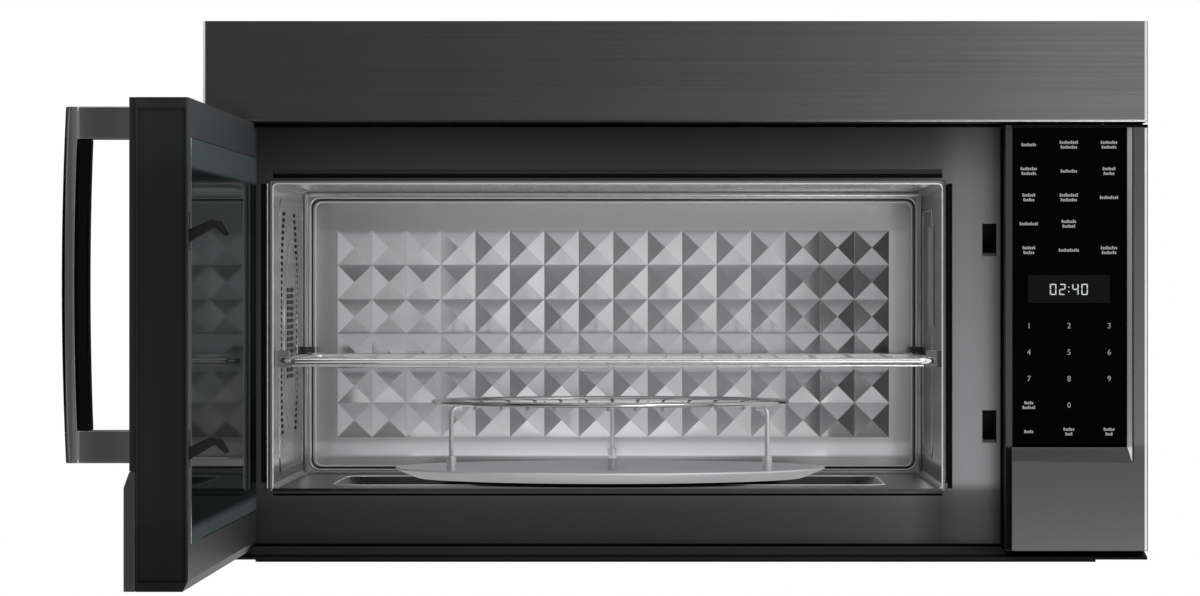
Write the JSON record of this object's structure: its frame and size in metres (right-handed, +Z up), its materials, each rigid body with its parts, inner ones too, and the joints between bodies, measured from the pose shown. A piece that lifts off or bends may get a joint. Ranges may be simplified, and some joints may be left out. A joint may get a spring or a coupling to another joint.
{
  "type": "over-the-range microwave oven",
  "caption": "Over-the-range microwave oven with a side-hinged door swung open, a cavity with turntable and racks, a control panel and a vent blower.",
  "frame": {"origin": "middle of the rear face, on the wall plane", "axes": "+X to the right seen from the kitchen, +Y into the wall, +Z up"},
  "size_m": [0.809, 1.063, 0.4375],
  "materials": {
    "black_steel": "brushed black stainless",
    "front_steel": "dark satin sheet",
    "liner_steel": "bright stainless",
    "satin_steel": "satin",
    "chrome_wire": "bright plated wire",
    "zinc_sheet": "galvanised sheet",
    "cast_aluminium": "as cast",
    "copper": "enamelled copper winding",
    "black_plastic": "fine matte",
    "grey_plastic": "matte",
    "white_plastic": "matte",
    "black_glass": "gloss black glass",
    "door_glass": "grey inner glass",
    "painted_frame": "dark grey satin paint",
    "mica": "pressed mica",
    "circuit_green": "solder mask"
  },
  "bodies": {
    "case": {"wall_plate": "zinc_sheet", "back_panel": "zinc_sheet", "top_panel": "zinc_sheet", "side_panel_left": "painted_frame", "side_panel_right": "painted_frame", "base_pan": "painted_frame", "grease_filter_left": "cast_aluminium", "grease_filter_right": "cast_aluminium", "task_lamp_left": "white_plastic", "task_lamp_right": "white_plastic", "top_fascia": "black_steel", "exhaust_grille": "black_plastic", "base_trim": "black_plastic", "front_plate": "front_steel", "hinge_bracket_upper": "zinc_sheet", "hinge_bracket_lower": "zinc_sheet", "cavity_left_wall": "liner_steel", "cavity_right_wall": "liner_steel", "cavity_roof": "liner_steel", "cavity_floor": "liner_steel", "cavity_back_wall": "liner_steel", "rack_support_front_left": "black_plastic", "rack_support_rear_left": "black_plastic", "rack_support_front_right": "black_plastic", "rack_support_rear_right": "black_plastic", "turntable_motor": "zinc_sheet", "waveguide": "zinc_sheet", "waveguide_cover": "mica", "magnetron": "cast_aluminium", "cooling_fan_housing": "black_plastic", "high_voltage_transformer": "copper", "latch_body": "black_plastic", "vent_blower_housing": "zinc_sheet", "convection_housing": "zinc_sheet", "convection_heater": "satin_steel", "control_housing": "black_plastic", "control_glass": "black_glass", "control_skin": "black_steel", "control_board": "circuit_green"},
    "door": {"door_frame": "painted_frame", "door_outer_glass": "black_glass", "door_outer_panel": "black_steel", "door_inner_glass": "door_glass", "door_screen": "front_steel", "handle_bar": "black_steel", "handle_grip": "black_plastic", "latch_spring": "satin_steel"},
    "latch": {"latch_lever": "black_plastic"},
    "sliding_rack": {"wire_rack": "chrome_wire"},
    "tray": {"turntable": "satin_steel", "turntable_coupler": "white_plastic"},
    "tall_rack": {"round_rack": "chrome_wire"},
    "ring": {"roller_ring": "grey_plastic"},
    "wheel_1": {"roller_1": "grey_plastic"},
    "wheel_2": {"roller_2": "grey_plastic"},
    "wheel_3": {"roller_3": "grey_plastic"},
    "vent_rotor": {"vent_blower_rotor": "black_plastic"},
    "hot_air_fan": {"convection_fan": "cast_aluminium"},
    "electronics_fan": {"cooling_fan": "white_plastic"}
  },
  "joints": [
    {"name": "door_hinge", "type": "hinge", "parent": "case", "child": "door", "pos_m": [-0.3625, -0.437, 0], "axis": [0, 0, 1], "range_deg": [-10, 90]},
    {"name": "latch_lift", "type": "slide", "parent": "door", "child": "latch", "axis": [0, 0, 1], "range_m": [0, 0.0035], "stiffness_N_per_m": 400, "springref_m": -0.008, "deforming": ["latch_spring"]},
    {"name": "wire_rack_slide", "type": "slide", "parent": "case", "child": "sliding_rack", "axis": [0, 1, 0], "range_m": [-0.32, 0]},
    {"name": "turntable_spin", "type": "hinge", "parent": "case", "child": "tray", "pos_m": [-0.0552, -0.2215, -0.157], "axis": [0, 0, 1], "continuous": true},
    {"name": "tall_rack_lift", "type": "slide", "parent": "tray", "child": "tall_rack", "axis": [0, 0, 1], "range_m": [0, 0.025]},
    {"name": "roller_ring_spin", "type": "hinge", "parent": "case", "child": "ring", "pos_m": [-0.0552, -0.2215, -0.1635], "axis": [0, 0, 1], "continuous": true},
    {"name": "roller_spin_1", "type": "hinge", "parent": "ring", "child": "wheel_1", "pos_m": [-0.00825, -0.30979, -0.1635], "axis": [0.4695, -0.8829, 0], "continuous": true},
    {"name": "roller_spin_2", "type": "hinge", "parent": "ring", "child": "wheel_2", "pos_m": [-0.00221, -0.1367, -0.1635], "axis": [0.5299, 0.848, 0], "continuous": true},
    {"name": "roller_spin_3", "type": "hinge", "parent": "ring", "child": "wheel_3", "pos_m": [-0.15514, -0.21801, -0.1635], "axis": [-0.9994, 0.0349, 0], "continuous": true},
    {"name": "vent_blower_spin", "type": "hinge", "parent": "case", "child": "vent_rotor", "pos_m": [0, -0.092, 0.155], "axis": [1, 0, 0], "continuous": true},
    {"name": "convection_fan_spin", "type": "hinge", "parent": "case", "child": "hot_air_fan", "pos_m": [-0.35, -0.2095, -0.0369], "axis": [1, 0, 0], "continuous": true},
    {"name": "cooling_fan_spin", "type": "hinge", "parent": "case", "child": "electronics_fan", "pos_m": [0.29855, -0.06, 0.02], "axis": [0, 1, 0], "continuous": true}
  ],
  "couplings": [
    {"joint": "roller_ring_spin", "follows": "turntable_spin", "ratio": 0.5},
    {"joint": "roller_spin_1", "follows": "turntable_spin", "ratio": -10},
    {"joint": "roller_spin_2", "follows": "turntable_spin", "ratio": -10},
    {"joint": "roller_spin_3", "follows": "turntable_spin", "ratio": -10}
  ]
}
